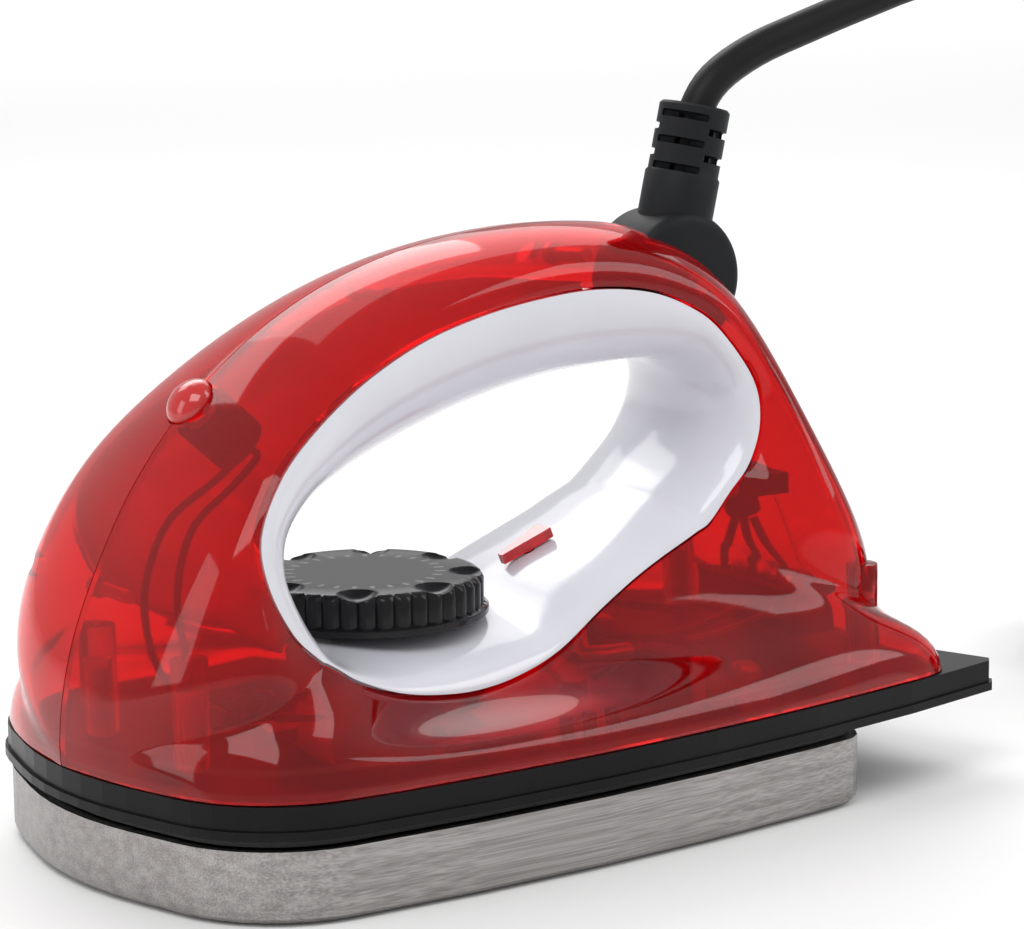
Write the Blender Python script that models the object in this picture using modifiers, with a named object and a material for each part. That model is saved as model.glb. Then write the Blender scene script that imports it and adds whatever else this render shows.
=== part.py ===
"""Small electric waxing iron for skis and snowboards, built piece by piece.

The sole lies on the ground plane, the nose points to -X and the heel to +X.  Lengths below are
in millimetres, with x counted from the nose tip; place() turns them into metres in the part's
own frame, whose origin is under the middle of the iron.
"""
import math

import bmesh
import bpy
from mathutils import Matrix, Vector

MM = 0.001

# Driving dimensions
LENGTH = 182.0
CENTRE_X = LENGTH / 2
GAP = 0.3

# Plan outline: nose arc, short straight, shoulder arc, slightly curved side
NOSE_RADIUS = 72.4
NOSE_TURN = 14.8
NOSE_FLAT = 11.0
SHOULDER_RADIUS = 27.1
SIDE_ANGLE = 4.65
SIDE_RADIUS = 550.0

# Stack of the base, bottom to top
SOLE_TOP = 13.0
SOLE_END = 146.0
SOLE_CORNER = 8.0
SOLE_EDGE = 2.4
SKIRT_BOTTOM = 15.1
SKIRT_CEILING = 18.4
SKIRT_TOP = 20.9
SKIRT_LIP = 0.6
SKIRT_WALL = 2.3
SHIELD_BOTTOM = 14.5
SHIELD_THICKNESS = 0.8
SHELL_FOOT = 21.2

# Housing walls
SHELL_WALL = 2.0
LINER_WALL = 1.7
HALF_GAP = 0.15
RIM_STEP = 1.4

# Thermostat and its knob
KNOB_X = 63.1
KNOB_BASE = 39.9
KNOB_HEIGHT = 7.4
KNOB_RADIUS = 22.7
KNOB_GRIP_RADIUS = 21.8
KNOB_RIBS = 40
KNOB_DIMPLES = 8
SHAFT_RADIUS = 3.0
HUB_RADIUS = 5.6

KNOB_PHASE = math.radians(-126.6)

# Temperature pointer on the ramp of the liner
POINTER_X = 99.1
POINTER_Z = 46.7
POINTER_SLOPE = 23.0
POINTER_LENGTH = 11.0

# Signal lamp, high on the front of the handle
LAMP_X = 27.0
LAMP_Z = 82.7
LAMP_TILT = 47.8
LENS_RADIUS = 4.7

# Swivelling cord outlet
DRUM_X = 132.2
DRUM_Z = 95.6
DRUM_RADIUS = 12.8
DRUM_HALF_WIDTH = 8.0
SLEEVE_TILT = 13.5
SLEEVE_RADIUS = 6.8
SLEEVE_BORE = 4.4
SLEEVE_MOUTH = 33.0
SLEEVE_FLOOR = 17.0
SLOT_ROWS = 5
PIN_RADIUS = 1.8

# Mains cord
CORD_RADIUS = 3.4
COIL_X = 289.0
COIL_Y = -8.0
COIL_MID_RADIUS = 37.5
COIL_HALF_WIDTH = 10.4
COIL_HEIGHT = 14.2
LEAD_START = 70
LEAD_END = -80
PLUG_X = 294.4
PLUG_Z = 25.6

# Fixing points (x, y) and the heating element
SOLE_SCREWS = [(34, 0), (134, -22), (134, 22)]
THERMOSTAT_SCREWS = [(48.5, 0), (77.5, 0)]
EARTH_SCREW = (110, 0)
SHELL_POSTS = [(17, -16), (17, 16), (158, -28), (158, 28)]
SEAM_BOSSES = [(66, 97.8, 12.5), (110, 102, 12.5), (12.5, 50, 29.5)]
ELEMENT_RADIUS = 3.1
ELEMENT_Z = 11.0
ELEMENT_ROUTE = [(118, -26), (96, -34), (66, -36), (42, -31), (27, -18), (22, 0)]
ELEMENT_END = (121.5, 26, 26)

# Ribs of the housing from the nose over the handle to the heel: the spine point (x, z), the
# side bulge at the spine and at the grip opening, then the opening's edge (x, half width, z)
SPINE_RIBS = [
    (0, 21, 20, 13, 31.5, 35, 42.1),
    (0.3, 31, 28, 13, 26.5, 35, 47.0),
    (3, 43, 30, 6, 22.6, 34, 55.3),
    (8.5, 56, 25, 1, 22.4, 32, 63.6),
    (16, 69, 20, -1, 27.7, 29.5, 72),
    (27, 82, 15, 0, 35.7, 26.5, 78.4),
    (41, 93, 13, 0, 48, 23.5, 85.7),
    (57, 101, 12, 0, 62.2, 21, 91.5),
    (75, 106, 11, 0.5, 76, 19.5, 94.9),
    (93, 108, 11, 1, 89.9, 18.5, 96.8),
    (109, 108, 12, 1, 103, 18, 97.4),
    (123, 106, 12, 1, 115.1, 18, 95.9),
    (135, 100.5, 13, 2, 124.5, 18, 92.3),
    (144, 91, 15, 3, 131.6, 18, 87.3),
    (150.5, 76, 20, 5, 138.8, 18.9, 77.5),
    (157, 60, 28, 10, 139.2, 20.5, 69.5),
    (164, 44, 36, 18, 136, 21.3, 62),
    (168.4, 33, 34, 19, 131, 21.6, 57),
    (171.5, 21, 29, 18, 126, 21.9, 52),
]

# The same from the heel back to the nose along the foot: foot point (x, half width or None
# for the plan outline), rise, side bulge at the opening, then the opening's edge
FOOT_RIBS = [
    (172, 18, 8, 19, 123, 22, 50.6),
    (171.5, 32, 10, 18, 119, 22.2, 48.9),
    (166, 42, 12, 15, 114, 22.4, 46.8),
    (150, None, 13, 12, 107, 23.4, 43.9),
    (125, None, 11, 10, 98, 25, 39.6),
    (100, None, 9, 10, 87.1, 27.5, 34.2),
    (80, None, 8, 10, 76.8, 29.5, 31.5),
    (62, None, 8, 10, 67.1, 31, 30.6),
    (47, None, 8, 10, 57.9, 32, 31.3),
    (33, None, 9, 10, 48.9, 33, 33.2),
    (20, None, 11, 11, 40.1, 34, 36.8),
    (9, None, 11, 12, 35.5, 34.7, 39.7),
    (2.6, None, 11, 13, 33, 35, 41.2),
]

# Middle line of the grip liner (x, z), one point for each rib above
WAIST = [
    (37.6, 43.6), (36.2, 48.5), (34.5, 55), (37, 60.5), (43, 64.5), (51, 67.5), (60, 70.3), (70, 73.3),
    (79.5, 76), (90, 78.3), (101, 80), (112, 80.7), (121.5, 81), (128.5, 80), (132.5, 75.5),
    (133, 68.7), (130.5, 64.3), (126.5, 60), (122, 57), (120.5, 56), (117, 54.4), (112.3, 52),
    (104.8, 48.6), (95.7, 44.6), (87, 39.4), (77, 38.8), (68, 38.6), (59, 38.6), (51.5, 38.8),
    (45, 39), (40.2, 39.6), (38.6, 41),
]
STEPS_PER_RIB = 2
RIB_STEPS = 5
LINER_STEPS = 6

# Route of the mains cord between the sleeve and the coil
CORD_ROUTE = [
    (136.3, 0, 112.6), (138.1, 0, 120), (140.2, 0, 127), (144.8, 0, 132.6), (154, 0, 137.4),
    (166, -0.5, 141.3), (180, -1.5, 145.5), (195, -3, 149.5), (212, -6, 151), (230, -10, 145),
    (244, -15, 130), (250.5, -20, 108), (253, -24, 82), (253, -27, 56), (252, -26, 36),
    (251.5, -19, 24), (251.4, -10, 18.6), (252, -2, 17.95),
]


# ---------------------------------------------------------------- helpers
def place(x, y, z):
    """Metres in the part's frame, from millimetres counted from the nose tip."""
    return Vector(((x - CENTRE_X) * MM, y * MM, z * MM))


def material(name, colour, roughness, metallic=0.0, alpha=1.0):
    mat = bpy.data.materials.new(name)
    mat.use_nodes = True
    shader = mat.node_tree.nodes["Principled BSDF"]
    shader.inputs["Base Color"].default_value = (*colour, 1.0)
    shader.inputs["Roughness"].default_value = roughness
    shader.inputs["Metallic"].default_value = metallic
    shader.inputs["Alpha"].default_value = alpha
    return mat


def add_object(name, mesh, mat=None):
    """A new object in the parts collection, or in the cutters one when it has no material."""
    obj = bpy.data.objects.new(name, mesh)
    if mat is None:
        cutters.objects.link(obj)
        obj.hide_render = True
        obj.display_type = "WIRE"
    else:
        parts.objects.link(obj)
        mesh.materials.clear()
        mesh.materials.append(mat)
    return obj


def smooth(obj, angle=35):
    obj.data.shade_smooth()
    obj.data.set_sharp_from_angle(angle=math.radians(angle))
    return obj


def from_bmesh(name, bm, mat=None):
    mesh = bpy.data.meshes.new(name)
    bm.normal_update()
    bm.to_mesh(mesh)
    bm.free()
    return add_object(name, mesh, mat)


def box(name, low, high, mat=None):
    """A box between two corners given in millimetres."""
    low, high = place(*low), place(*high)
    bm = bmesh.new()
    bmesh.ops.create_cube(bm, size=1.0)
    bmesh.ops.scale(bm, vec=high - low, verts=bm.verts)
    obj = from_bmesh(name, bm, mat)
    obj.location = (low + high) / 2
    return obj


def rod(name, start, end, radius, mat=None, sides=20, tip=None):
    """A cylinder, or a cone frustum with a tip radius, between two points in millimetres."""
    start, end = place(*start), place(*end)
    bm = bmesh.new()
    top = radius if tip is None else tip
    bmesh.ops.create_cone(bm, cap_ends=True, segments=sides, radius1=radius * MM,
                          radius2=top * MM, depth=(end - start).length)
    obj = from_bmesh(name, bm, mat)
    obj.location = (start + end) / 2
    obj.rotation_euler = (end - start).to_track_quat("Z", "Y").to_euler()
    return smooth(obj)


def turned(name, profile, base, mat=None, tilt=0.0, steps=32):
    """A profile of (radius, height) points, top to bottom, turned about a leaning axis."""
    mesh = bpy.data.meshes.new(name)
    points = [(r * MM, 0, z * MM) for r, z in profile]
    if points[0] == points[-1]:
        points.pop()
        edges = [(i, (i + 1) % len(points)) for i in range(len(points))]
    else:
        edges = [(i, i + 1) for i in range(len(points) - 1)]
    mesh.from_pydata(points, edges, [])
    obj = add_object(name, mesh, mat)
    screw = obj.modifiers.new("Turn", "SCREW")
    screw.steps = steps
    screw.render_steps = steps
    screw.use_merge_vertices = True
    screw.merge_threshold = 0.00001
    obj.location = place(*base)
    obj.rotation_euler = (0, math.radians(tilt), 0)
    return smooth(obj)


def ring(name, inner, outer, base, height, mat=None, steps=24):
    """A flat ring on its base point."""
    profile = [(inner, height), (outer, height), (outer, 0), (inner, 0), (inner, height)]
    return turned(name, profile, base, mat, steps=steps)


def mesh_copy(obj, mat):
    """The evaluated mesh of a curve as a new object; the curve is removed."""
    bpy.context.view_layer.update()
    graph = bpy.context.evaluated_depsgraph_get()
    mesh = bpy.data.meshes.new_from_object(obj.evaluated_get(graph))
    bm = bmesh.new()
    bm.from_mesh(mesh)
    bmesh.ops.remove_doubles(bm, verts=bm.verts, dist=0.000001)
    bm.to_mesh(mesh)
    bm.free()
    name = obj.name
    matrix = obj.matrix_world.copy()
    bpy.data.objects.remove(obj)
    new = add_object(name, mesh, mat)
    new.name = name
    new.matrix_world = matrix
    return new


def plate(name, outline, bottom, top, mat=None):
    """A flat plate from a plan outline in millimetres."""
    curve = bpy.data.curves.new(name, "CURVE")
    curve.dimensions = "2D"
    curve.fill_mode = "BOTH"
    curve.extrude = (top - bottom) / 2 * MM
    spline = curve.splines.new("POLY")
    spline.points.add(len(outline) - 1)
    for point, (x, y) in zip(spline.points, outline):
        point.co = (*place(x, y, 0)[:2], 0, 1)
    spline.use_cyclic_u = True
    obj = bpy.data.objects.new(name, curve)
    parts.objects.link(obj)
    obj.location.z = (bottom + top) / 2 * MM
    return mesh_copy(obj, mat)


def tube(name, points, radius, mat=None, resolution=2):
    """A round tube with filled ends through points in millimetres, as a mesh."""
    curve = bpy.data.curves.new(name, "CURVE")
    curve.dimensions = "3D"
    curve.bevel_depth = radius * MM
    curve.bevel_resolution = resolution
    curve.use_fill_caps = True
    spline = curve.splines.new("POLY")
    spline.points.add(len(points) - 1)
    for point, at in zip(spline.points, points):
        point.co = (*place(*at), 1)
    obj = bpy.data.objects.new(name, curve)
    parts.objects.link(obj)
    return smooth(mesh_copy(obj, mat), 60)


def boolean(obj, other, operation):
    """Cut or join at once, and weld the result."""
    modifier = obj.modifiers.new(operation.title(), "BOOLEAN")
    modifier.operation = operation
    modifier.solver = "EXACT"
    modifier.object = other
    bpy.context.view_layer.update()
    graph = bpy.context.evaluated_depsgraph_get()
    mesh = bpy.data.meshes.new_from_object(obj.evaluated_get(graph))
    bm = bmesh.new()
    bm.from_mesh(mesh)
    bmesh.ops.remove_doubles(bm, verts=bm.verts, dist=0.002 * MM)
    bmesh.ops.dissolve_degenerate(bm, edges=bm.edges, dist=0.001 * MM)
    bm.to_mesh(mesh)
    bm.free()
    obj.modifiers.clear()
    obj.data = mesh


def cut(obj, *others):
    for other in others:
        boolean(obj, other, "DIFFERENCE")
    return obj


def join(obj, *others):
    for other in others:
        boolean(obj, other, "UNION")
    return obj


def number(name, pieces):
    """Names for repeated pieces: name_1, name_2 and so on."""
    for i, piece in enumerate(pieces):
        piece.name = f"{name}_{i + 1}"


def cutter_group(name, pieces):
    """Several separate cutters as one."""
    bpy.context.view_layer.update()
    graph = bpy.context.evaluated_depsgraph_get()
    bm = bmesh.new()
    for piece in pieces:
        mesh = bpy.data.meshes.new_from_object(piece.evaluated_get(graph))
        mesh.transform(piece.matrix_world)
        bm.from_mesh(mesh)
    for piece in pieces:
        bpy.data.objects.remove(piece)
    return from_bmesh(name, bm)


def spline_through(points, steps, closed=False):
    """Points on a Catmull-Rom curve through tuples of any length."""
    count = len(points)
    spans = count if closed else count - 1
    result = []
    for i in range(spans):
        if closed:
            four = [points[(i + k) % count] for k in (-1, 0, 1, 2)]
        else:
            four = [points[min(max(i + k, 0), count - 1)] for k in (-1, 0, 1, 2)]
        for step in range(steps):
            t = step / steps
            result.append(tuple(
                0.5 * (2 * b + (c - a) * t + (2 * a - 5 * b + 4 * c - d) * t * t
                       + (3 * b - a - 3 * c + d) * t ** 3)
                for a, b, c, d in zip(*four)))
    if not closed:
        result.append(tuple(points[-1]))
    return result


# ---------------------------------------------------------------- plan outlines
def side_line():
    """Half of the plan outline, from the nose tip to the heel, with y positive."""
    points = [(0.0, 0.0)]
    heading = 90.0

    def walk(length, turn, steps):
        nonlocal heading
        for i in range(steps):
            angle = math.radians(heading - turn * (i + 0.5) / steps)
            x, y = points[-1]
            points.append((x + length / steps * math.cos(angle),
                           y + length / steps * math.sin(angle)))
        heading -= turn

    walk(NOSE_RADIUS * math.radians(NOSE_TURN), NOSE_TURN, 3)
    walk(NOSE_FLAT, 0, 1)
    shoulder = heading - SIDE_ANGLE
    walk(SHOULDER_RADIUS * math.radians(shoulder), shoulder, 8)
    rest = (LENGTH - points[-1][0]) / math.cos(math.radians(SIDE_ANGLE / 2))
    walk(rest, math.degrees(rest / SIDE_RADIUS), 6)
    return points


def half_width(x):
    """Half width of the plan outline at x."""
    for (x0, y0), (x1, y1) in zip(SIDE, SIDE[1:]):
        if x0 <= x <= x1:
            return y0 + (y1 - y0) * (x - x0) / (x1 - x0)
    return SIDE[-1][1]


def inset(points, distance):
    """A closed outline moved inwards; negative moves it outwards."""
    result = []
    count = len(points)
    for i in range(count):
        before, here, after = (Vector(points[(i + k) % count]) for k in (-1, 0, 1))
        one = (here - before).normalized()
        two = (after - here).normalized()
        normal = Vector((one.y + two.y, -one.x - two.x)).normalized()
        stretch = max(0.5, normal.dot(Vector((one.y, -one.x))))
        result.append(tuple(here + normal * distance / stretch))
    return result


def mirrored(half):
    """A closed outline from its +Y half, nose first, running clockwise from above."""
    return [*half, *((x, -y) for x, y in reversed(half) if y > 0.01)]


def corner(cx, cy, radius, start, end, steps=4):
    """Points of an arc, angles in degrees."""
    angles = [math.radians(start + (end - start) * i / steps) for i in range(steps + 1)]
    return [(cx + radius * math.cos(a), cy + radius * math.sin(a)) for a in angles]


def sole_outline(distance=0.0):
    """Plan of the sole: the nose of the base with round rear corners."""
    radius = max(SOLE_CORNER, distance + 1.5)
    half = [(x, y) for x, y in SIDE if x < SOLE_END - radius - 3]
    width = half_width(SOLE_END - radius)
    half += corner(SOLE_END - radius, width - radius, radius, 88, 0)
    return inset(mirrored(half), distance)


def skirt_outline(distance=0.0):
    """Plan of the skirt: like the sole, but with a hollowed heel that sweeps out to two points."""
    end = SIDE[-1]
    half = SIDE[:-1] + [(end[0] - 1.5, end[1] + 0.1), (end[0], end[1] - 1.6)]
    half += [(177.5, 27), (175.5, 13), (175, 0.02)]
    return inset(mirrored(half), distance)


# ---------------------------------------------------------------- housing surfaces
def ribs():
    """Every rib as outer point, outer handle, bulge, opening point (one flat tuple each)."""
    rows = []
    last = len(SPINE_RIBS) - 1
    for i, (x, z, bulge, flare, rim_x, rim_y, rim_z) in enumerate(SPINE_RIBS):
        lift = {0: 10, last: 12}.get(i, 0)
        rows.append((x, 0, z, 0, -bulge, lift, flare, rim_x, -rim_y, rim_z))
    leans = {0: -14, 1: -5, len(FOOT_RIBS) - 2: -2, len(FOOT_RIBS) - 1: -8}
    for i, (x, y, rise, flare, rim_x, rim_y, rim_z) in enumerate(FOOT_RIBS):
        side = half_width(x) - 0.4 if y is None else y
        rows.append((x, -side, 21, 0, leans.get(i, 0), rise, flare, rim_x, -rim_y, rim_z))
    return rows


def shell_grid(steps_per_rib, rib_steps):
    """Rows of points over the left half of the housing, one row for each rib, in millimetres."""
    fine = spline_through(ribs(), steps_per_rib, closed=True)
    spine_end = (len(SPINE_RIBS) - 1) * steps_per_rib
    rims = [Vector((row[7], row[9])) for row in fine]
    grid = []
    for i, row in enumerate(fine):
        foot = i > spine_end
        outer = Vector((row[0], row[1] if foot else -HALF_GAP, row[2]))
        if i in (0, spine_end) or foot:
            outer.z = SHELL_FOOT
        along = (rims[(i + 1) % len(rims)] - rims[i - 1]).normalized()
        step = Vector((-along.y, 0, along.x)) * RIM_STEP
        rim = Vector(row[7:10]) + step
        first = outer + Vector(row[3:6])
        second = rim + Vector(((outer.x - rim.x) / 2, -row[6], (outer.z - rim.z) / 2))
        line = []
        for k in range(rib_steps + 1):
            t = k / rib_steps
            line.append(outer * (1 - t) ** 3 + first * (3 * t * (1 - t) ** 2)
                        + second * (3 * t * t * (1 - t)) + rim * t ** 3)
        grid.append(line)
    return grid


def liner_grid(steps_per_rib, steps):
    """Rows of points across the grip liner, from its left edge to its right one."""
    fine = spline_through(ribs(), steps_per_rib, closed=True)
    waist = spline_through(WAIST, steps_per_rib, closed=True)
    grid = []
    for row, (x, z) in zip(fine, waist):
        line = []
        for k in range(steps + 1):
            angle = math.pi * (k / steps - 0.5)
            drop = 1 - math.cos(angle)
            line.append(Vector((x + (row[7] - x) * drop, -row[8] * math.sin(angle),
                                z + (row[9] - z) * drop)))
        grid.append(line)
    return grid


def inner_grid(grid, wall):
    """The grid moved inwards by the wall, kept flat along the seam, the foot and the rims."""
    count = len(grid)
    result = []
    for i, line in enumerate(grid):
        moved = []
        for k, point in enumerate(line):
            around = grid[(i + 1) % count][k] - grid[i - 1][k]
            across = line[min(k + 1, len(line) - 1)] - line[max(k - 1, 0)]
            normal = across.cross(around)
            on_seam = k == 0 and point.y > -2 * HALF_GAP
            on_foot = k == 0 and point.z < SHELL_FOOT + 0.01
            if on_seam:
                normal.y = 0
            if on_foot:
                normal.z = 0
            if k in (0, len(line) - 1) and not on_seam and not on_foot:
                normal = Vector((0, normal.y, 0))
            moved.append(point - normal.normalized() * wall)
        result.append(moved)
    return result


def sheet(name, outer, inner, mat, side=1):
    """A closed wall between two grids that run round a ring; side -1 mirrors it to +Y."""
    bm = bmesh.new()
    front, back = ([[bm.verts.new(place(p.x, p.y * side, p.z)) for p in line] for line in grid]
                   for grid in (outer, inner))
    last = len(outer[0]) - 1
    for i in range(len(outer)):
        j = (i + 1) % len(outer)
        loops = [(front[i][k + 1], front[j][k + 1], front[j][k], front[i][k])
                 for k in range(last)]
        loops += [(back[i][k], back[j][k], back[j][k + 1], back[i][k + 1]) for k in range(last)]
        loops.append((front[i][0], front[j][0], back[j][0], back[i][0]))
        loops.append((back[i][last], back[j][last], front[j][last], front[i][last]))
        for loop in loops:
            bm.faces.new(loop if side > 0 else loop[::-1])
    return smooth(from_bmesh(name, bm, mat), 50)


# ---------------------------------------------------------------- small pieces
def screw(x, y, seat, tip, radius=1.5, head=2.8):
    """Pan-head screw along Z, its head on the far side of the seat from the tip."""
    if tip < seat:
        profile = [(0, seat + 1.8), (head - 0.6, seat + 1.8), (head, seat + 1.2), (head, seat),
                   (radius, seat), (radius, tip), (0, tip)]
    else:
        profile = [(0, tip), (radius, tip), (radius, seat), (head, seat), (head, seat - 1.2),
                   (head - 0.6, seat - 1.8), (0, seat - 1.8)]
    return turned("screw", profile, (x, y, 0), steel, steps=12)


def side_screw(x, z, seat, tip, radius=1.2, head=2.0):
    """Screw along Y, put in from the right side."""
    profile = [(0, seat + 1.5), (head, seat + 1.5), (head, seat), (radius, seat),
               (radius, tip), (0, tip)]
    obj = turned("screw", profile, (x, 0, z), steel, steps=12)
    obj.rotation_euler = (math.radians(-90), 0, 0)
    return obj


def wire(name, route, mat, radius=0.9):
    return tube(name, spline_through(route, 3), radius, mat, resolution=1)


# ---------------------------------------------------------------- base pieces
def element_path():
    """U of the heating element, with its ends turned up at the rear."""
    half = spline_through(ELEMENT_ROUTE, 3)
    x, y, z = ELEMENT_END
    rise = [(x, -y, z), (x, -y, ELEMENT_Z + 3.5), (x - 1, -y, ELEMENT_Z + 1)]
    left = rise + [(px, py, ELEMENT_Z) for px, py in half]
    return left + [(px, -py, pz) for px, py, pz in reversed(left[:-1])]


def make_sole():
    """Cast sole with a rounded lower edge, a groove for the element and tapped holes."""
    sole = plate("sole_plate", sole_outline(SKIRT_LIP), 0, SOLE_TOP, aluminium)
    bm = bmesh.new()
    bm.from_mesh(sole.data)
    low = min(vert.co.z for vert in bm.verts) + 0.1 * MM
    edges = [edge for edge in bm.edges if edge.calc_face_angle(0) > 0.8
             and all(vert.co.z < low for vert in edge.verts)]
    bmesh.ops.bevel(bm, geom=edges, offset=SOLE_EDGE * MM, segments=3, affect="EDGES",
                    profile=0.5)
    bmesh.ops.remove_doubles(bm, verts=bm.verts, dist=0.01 * MM)
    bm.to_mesh(sole.data)
    bm.free()
    groove = tube("element_groove", element_path()[1:-1], ELEMENT_RADIUS + GAP)
    holes = [rod("tapped_hole", (x, y, SOLE_TOP - 7), (x, y, SOLE_TOP + 2), 1.9, sides=12)
             for x, y in [*SOLE_SCREWS, *THERMOSTAT_SCREWS, EARTH_SCREW]]
    smooth(cut(sole, groove, *holes))
    tube("heating_element", element_path(), ELEMENT_RADIUS, steel)


def make_shield():
    """Sheet steel screen between the sole and the plastic."""
    shield = plate("heat_shield", sole_outline(10), SHIELD_BOTTOM,
                   SHIELD_BOTTOM + SHIELD_THICKNESS, steel)
    window = box("shield_window", (42, -14, 13), (84, 14, 17))
    holes = [rod("post_hole", (x, y, 13), (x, y, 17), 2.9, sides=12) for x, y in SOLE_SCREWS]
    holes.append(rod("earth_hole", (*EARTH_SCREW, 13), (*EARTH_SCREW, 17), 1.9, sides=12))
    x, y, z = ELEMENT_END
    holes += [rod("element_hole", (x, side * y, 12), (x, side * y, 17), 4.2, sides=16)
              for side in (-1, 1)]
    cut(shield, window, *holes)


def make_gasket():
    """Silicone ring that closes the gap between the sole and the skirt."""
    gasket = plate("sole_gasket", sole_outline(SKIRT_WALL + GAP), SOLE_TOP + GAP,
                   SKIRT_CEILING - GAP, silicone)
    cut(gasket, plate("gasket_inside", sole_outline(SKIRT_WALL + 4.2), SOLE_TOP, SKIRT_TOP))


def make_skirt():
    """Black band round the base: a tray over the sole, with a lip and a hollow heel."""
    skirt = plate("base_skirt", skirt_outline(), SKIRT_BOTTOM + 0.4, SKIRT_TOP, black_plastic)
    lip = plate("skirt_lip", skirt_outline(-SKIRT_LIP), SKIRT_BOTTOM, SKIRT_BOTTOM + 1.6)
    pocket = plate("skirt_pocket", sole_outline(SKIRT_WALL), SKIRT_BOTTOM - 2, SKIRT_CEILING)
    heel = box("heel_pocket", (150, -38, SKIRT_BOTTOM - 2), (171, 38, SKIRT_CEILING))
    window = box("skirt_window", (40, -31, 17), (126, 31, 23))
    holes = [rod("post_hole", (x, y, 17), (x, y, 23), 2.0, sides=12)
             for x, y in SHELL_POSTS + SOLE_SCREWS]
    tabs = [box("snap_tab", (x + 5 * i, side * 40 - 0.8, 19), (x + 5 * i + 2, side * 40 + 0.8, 24.8))
            for x in (78, 116) for i in range(3) for side in (-1, 1)]
    join(skirt, lip)
    cut(skirt, pocket, heel, window, *holes)
    smooth(join(skirt, *tabs))


def make_base_screws():
    number("sole_screw", [screw(x, y, SKIRT_TOP + GAP, 7) for x, y in SOLE_SCREWS])
    number("base_screw", [screw(x, y, SKIRT_CEILING - GAP, 33) for x, y in SHELL_POSTS])


# ---------------------------------------------------------------- housing
def make_shells():
    """Two translucent halves with a seam along the middle."""
    grid = shell_grid(STEPS_PER_RIB, RIB_STEPS)
    for side, name in ((1, "left_shell"), (-1, "right_shell")):
        shell = sheet(name, grid, inner_grid(grid, SHELL_WALL), red_shell, side)
        posts, bores = [], []
        for x, y in SHELL_POSTS:
            if y * side > 0:
                continue
            wall = -side * (half_width(x) - 1.6)
            posts.append(rod("post", (x, y, SHELL_FOOT + 0.1), (x, y, 41), 3.2, sides=12))
            posts.append(box("gusset", (x - 0.8, min(y, wall), 23), (x + 0.8, max(y, wall), 28)))
            bores.append(rod("post_bore", (x, y, 20), (x, y, 35), 1.8, sides=10))
        for x, z, reach in SEAM_BOSSES:
            ends = (x, -side * (HALF_GAP + 0.1), z), (x, -side * reach, z)
            posts.append(rod("seam_boss", *ends, 3.0, sides=12))
            bores.append(rod("seam_bore", (x, -6, z), (x, 9, z), 1.5, sides=10))
            if side < 0:
                bores.append(rod("head_bore", (x, 5, z), (x, reach + 9, z), 2.4, sides=10))
        pivot = (DRUM_X, -side * (DRUM_HALF_WIDTH + 0.5), DRUM_Z)
        posts.append(rod("pivot_boss", pivot, (DRUM_X, -side * 14.3, DRUM_Z), 3.4, sides=12))
        bores.append(rod("pivot_bore", (DRUM_X, -12.3, DRUM_Z), (DRUM_X, 12.3, DRUM_Z),
                         PIN_RADIUS + GAP, sides=10))
        slot = rod("drum_slot", (DRUM_X, -DRUM_HALF_WIDTH - 0.4, DRUM_Z),
                   (DRUM_X, DRUM_HALF_WIDTH + 0.4, DRUM_Z), DRUM_RADIUS + 0.5, sides=28)
        lens = rod("lens_hole", lamp_point(-5), lamp_point(6), LENS_RADIUS + GAP, sides=16)
        cut(shell, slot, lens)
        join(shell, *posts)
        smooth(cut(shell, *bores), 50)
    number("shell_screw", [side_screw(x, z, 5 + GAP, -5) for x, z, reach in SEAM_BOSSES])


def make_liner():
    """White liner of the grip opening, with holes for the knob's hub and the pointer."""
    grid = liner_grid(STEPS_PER_RIB, LINER_STEPS)
    liner = sheet("grip_liner", grid, inner_grid(grid, LINER_WALL), white_plastic)
    hub = rod("hub_hole", (KNOB_X, 0, 30), (KNOB_X, 0, 44), HUB_RADIUS + 0.8, sides=24)
    smooth(cut(liner, hub, pointer_peg("peg_hole", 1.5)), 50)


def pointer_peg(name, radius, mat=None):
    along = Vector((math.sin(math.radians(POINTER_SLOPE)), 0,
                    -math.cos(math.radians(POINTER_SLOPE))))
    top = Vector((POINTER_X, 0, POINTER_Z + 1))
    return rod(name, top, top + along * 5.5, radius, mat, sides=12)


def make_pointer():
    """Wedge on the ramp of the liner that marks the knob's setting."""
    half = POINTER_LENGTH / 2
    outline = [(CENTRE_X - half, 0.7), (CENTRE_X + half, 2.2), (CENTRE_X + half, -2.2),
               (CENTRE_X - half, -0.7)]
    pointer = plate("temperature_pointer", outline, 0, 2.0, red_clear)
    pointer.data.transform(Matrix.Translation((0, 0, 1 * MM)))
    pointer.location = place(POINTER_X, 0, POINTER_Z)
    pointer.rotation_euler = (0, math.radians(-POINTER_SLOPE), 0)
    join(pointer, pointer_peg("peg", 1.2))


# ---------------------------------------------------------------- signal lamp
def lamp_point(height, aside=0.0):
    """A point on the lamp's axis, counted outwards from the housing's surface."""
    lean = math.radians(LAMP_TILT)
    return LAMP_X - height * math.sin(lean), aside, LAMP_Z + height * math.cos(lean)


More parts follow.
